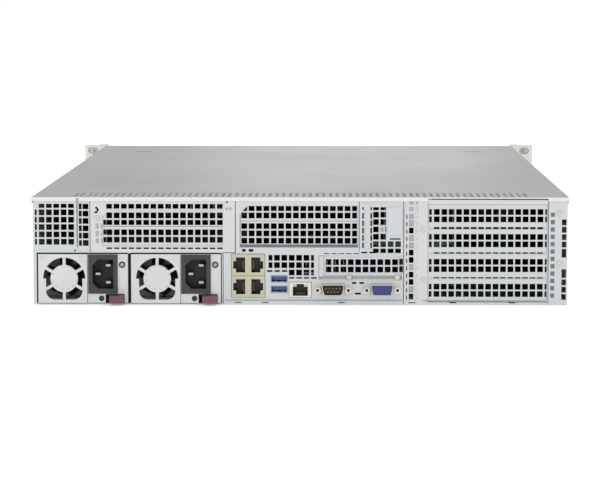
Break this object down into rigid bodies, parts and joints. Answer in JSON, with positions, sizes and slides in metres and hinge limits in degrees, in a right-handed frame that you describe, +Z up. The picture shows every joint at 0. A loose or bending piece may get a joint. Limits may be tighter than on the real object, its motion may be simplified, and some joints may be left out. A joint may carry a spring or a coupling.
{
  "type": "2u rack server",
  "caption": "Two-unit rack server with a lift-off cover, two slide-out power supplies, slot brackets, connectors, fans and a row of hot-swap drive bays.",
  "frame": {"origin": "middle of the underside of the chassis floor", "axes": "+X across to the right when facing the connector side, +Y from the connector side to the drive bays, +Z up"},
  "size_m": [0.4826, 0.7308, 0.0892],
  "materials": {
    "bezel_metal": "satin",
    "board_laminate": "solder resist",
    "button_plastic": "moulded",
    "cover_sheet": "satin zinc plated sheet",
    "ear_metal": "satin paint",
    "fan_plastic": "moulded",
    "heatsink_aluminium": "extruded",
    "inlet_plastic": "matt moulded",
    "lever_plastic": "moulded",
    "module_laminate": "solder resist",
    "port_shell": "plated",
    "release_plastic": "satin moulded",
    "riser_sheet": "satin",
    "serial_shell": "plated",
    "shroud_plastic": "moulded",
    "supply_case": "satin",
    "usb_shell": "plated",
    "vga_plastic": "moulded",
    "zinc_sheet": "satin zinc plated sheet"
  },
  "bodies": {
    "chassis": {"chassis_base": "zinc_sheet", "psu_cage": "zinc_sheet", "left_riser_bracket": "riser_sheet", "middle_riser_bracket": "riser_sheet", "left_slot_covers": "zinc_sheet", "middle_slot_covers": "zinc_sheet", "vent_panel": "zinc_sheet", "io_panel": "zinc_sheet", "low_profile_cover": "zinc_sheet", "right_riser_bracket": "riser_sheet", "right_slot_covers": "zinc_sheet", "lan_ports": "port_shell", "usb_ports": "usb_shell", "management_port": "port_shell", "serial_port": "serial_shell", "vga_port": "vga_plastic", "motherboard": "board_laminate", "cpu_heatsinks": "heatsink_aluminium", "memory_modules": "module_laminate", "riser_cards": "board_laminate", "fan_wall": "zinc_sheet", "fan_housings": "fan_plastic", "air_shroud": "shroud_plastic", "drive_cage": "zinc_sheet", "backplane": "board_laminate", "front_top_plate": "cover_sheet", "rack_ears": "ear_metal", "front_panel": "zinc_sheet"},
    "cover": {"top_cover": "cover_sheet"},
    "power_button": {"power_button": "button_plastic"},
    "reset_button": {"reset_button": "button_plastic"},
    "psu_1": {"psu_1_case": "supply_case", "psu_1_inlet": "inlet_plastic"},
    "psu_1_release": {"psu_1_latch": "release_plastic"},
    "psu_1_fan": {"psu_1_rotor": "fan_plastic"},
    "psu_2": {"psu_2_case": "supply_case", "psu_2_inlet": "inlet_plastic"},
    "psu_2_release": {"psu_2_latch": "release_plastic"},
    "psu_2_fan": {"psu_2_rotor": "fan_plastic"},
    "fan_1": {"fan_rotor_1": "fan_plastic"},
    "fan_2": {"fan_rotor_2": "fan_plastic"},
    "fan_3": {"fan_rotor_3": "fan_plastic"},
    "carrier_1": {"drive_carrier_1": "bezel_metal"},
    "lever_1": {"carrier_lever_1": "lever_plastic"},
    "carrier_2": {"drive_carrier_2": "bezel_metal"},
    "lever_2": {"carrier_lever_2": "lever_plastic"},
    "carrier_3": {"drive_carrier_3": "bezel_metal"},
    "lever_3": {"carrier_lever_3": "lever_plastic"},
    "carrier_4": {"drive_carrier_4": "bezel_metal"},
    "lever_4": {"carrier_lever_4": "lever_plastic"},
    "carrier_5": {"drive_carrier_5": "bezel_metal"},
    "lever_5": {"carrier_lever_5": "lever_plastic"},
    "carrier_6": {"drive_carrier_6": "bezel_metal"},
    "lever_6": {"carrier_lever_6": "lever_plastic"},
    "carrier_7": {"drive_carrier_7": "bezel_metal"},
    "lever_7": {"carrier_lever_7": "lever_plastic"},
    "carrier_8": {"drive_carrier_8": "bezel_metal"},
    "lever_8": {"carrier_lever_8": "lever_plastic"}
  },
  "joints": [
    {"name": "cover_lift", "type": "slide", "parent": "chassis", "child": "cover", "axis": [0, 0, 1], "range_m": [0, 0.15]},
    {"name": "power_button_press", "type": "slide", "parent": "chassis", "child": "power_button", "axis": [0, -1, 0], "range_m": [0, 0.0015], "stiffness_N_per_m": 300},
    {"name": "reset_button_press", "type": "slide", "parent": "chassis", "child": "reset_button", "axis": [0, -1, 0], "range_m": [0, 0.0015], "stiffness_N_per_m": 300},
    {"name": "psu_1_slide", "type": "slide", "parent": "chassis", "child": "psu_1", "axis": [0, -1, 0], "range_m": [0, 0.345]},
    {"name": "psu_1_latch_press", "type": "slide", "parent": "psu_1", "child": "psu_1_release", "axis": [-1, 0, 0], "range_m": [0, 0.003], "stiffness_N_per_m": 400},
    {"name": "psu_1_fan_spin", "type": "hinge", "parent": "psu_1", "child": "psu_1_fan", "pos_m": [-0.19205, -0.3355, 0.0215], "axis": [0, 1, 0], "continuous": true},
    {"name": "psu_2_slide", "type": "slide", "parent": "chassis", "child": "psu_2", "axis": [0, -1, 0], "range_m": [0, 0.345]},
    {"name": "psu_2_latch_press", "type": "slide", "parent": "psu_2", "child": "psu_2_release", "axis": [-1, 0, 0], "range_m": [0, 0.003], "stiffness_N_per_m": 400},
    {"name": "psu_2_fan_spin", "type": "hinge", "parent": "psu_2", "child": "psu_2_fan", "pos_m": [-0.11625, -0.3355, 0.0215], "axis": [0, 1, 0], "continuous": true},
    {"name": "fan_1_spin", "type": "hinge", "parent": "chassis", "child": "fan_1", "pos_m": [-0.14417, 0.1585, 0.0425], "axis": [0, 1, 0], "continuous": true},
    {"name": "fan_2_spin", "type": "hinge", "parent": "chassis", "child": "fan_2", "pos_m": [0, 0.1585, 0.0425], "axis": [0, 1, 0], "continuous": true},
    {"name": "fan_3_spin", "type": "hinge", "parent": "chassis", "child": "fan_3", "pos_m": [0.14417, 0.1585, 0.0425], "axis": [0, 1, 0], "continuous": true},
    {"name": "carrier_1_slide", "type": "slide", "parent": "chassis", "child": "carrier_1", "axis": [0, 1, 0], "range_m": [0, 0.165]},
    {"name": "lever_1_swing", "type": "hinge", "parent": "carrier_1", "child": "lever_1", "pos_m": [-0.20785, 0.3668, 0.01515], "axis": [0, 0, 1], "range_deg": [0, 55]},
    {"name": "carrier_2_slide", "type": "slide", "parent": "chassis", "child": "carrier_2", "axis": [0, 1, 0], "range_m": [0, 0.165]},
    {"name": "lever_2_swing", "type": "hinge", "parent": "carrier_2", "child": "lever_2", "pos_m": [-0.09972, 0.3668, 0.01515], "axis": [0, 0, 1], "range_deg": [0, 55]},
    {"name": "carrier_3_slide", "type": "slide", "parent": "chassis", "child": "carrier_3", "axis": [0, 1, 0], "range_m": [0, 0.165]},
    {"name": "lever_3_swing", "type": "hinge", "parent": "carrier_3", "child": "lever_3", "pos_m": [0.0084, 0.3668, 0.01515], "axis": [0, 0, 1], "range_deg": [0, 55]},
    {"name": "carrier_4_slide", "type": "slide", "parent": "chassis", "child": "carrier_4", "axis": [0, 1, 0], "range_m": [0, 0.165]},
    {"name": "lever_4_swing", "type": "hinge", "parent": "carrier_4", "child": "lever_4", "pos_m": [0.11653, 0.3668, 0.01515], "axis": [0, 0, 1], "range_deg": [0, 55]},
    {"name": "carrier_5_slide", "type": "slide", "parent": "chassis", "child": "carrier_5", "axis": [0, 1, 0], "range_m": [0, 0.165]},
    {"name": "lever_5_swing", "type": "hinge", "parent": "carrier_5", "child": "lever_5", "pos_m": [-0.20785, 0.3668, 0.04425], "axis": [0, 0, 1], "range_deg": [0, 55]},
    {"name": "carrier_6_slide", "type": "slide", "parent": "chassis", "child": "carrier_6", "axis": [0, 1, 0], "range_m": [0, 0.165]},
    {"name": "lever_6_swing", "type": "hinge", "parent": "carrier_6", "child": "lever_6", "pos_m": [-0.09972, 0.3668, 0.04425], "axis": [0, 0, 1], "range_deg": [0, 55]},
    {"name": "carrier_7_slide", "type": "slide", "parent": "chassis", "child": "carrier_7", "axis": [0, 1, 0], "range_m": [0, 0.165]},
    {"name": "lever_7_swing", "type": "hinge", "parent": "carrier_7", "child": "lever_7", "pos_m": [0.0084, 0.3668, 0.04425], "axis": [0, 0, 1], "range_deg": [0, 55]},
    {"name": "carrier_8_slide", "type": "slide", "parent": "chassis", "child": "carrier_8", "axis": [0, 1, 0], "range_m": [0, 0.165]},
    {"name": "lever_8_swing", "type": "hinge", "parent": "carrier_8", "child": "lever_8", "pos_m": [0.11653, 0.3668, 0.04425], "axis": [0, 0, 1], "range_deg": [0, 55]}
  ]
}
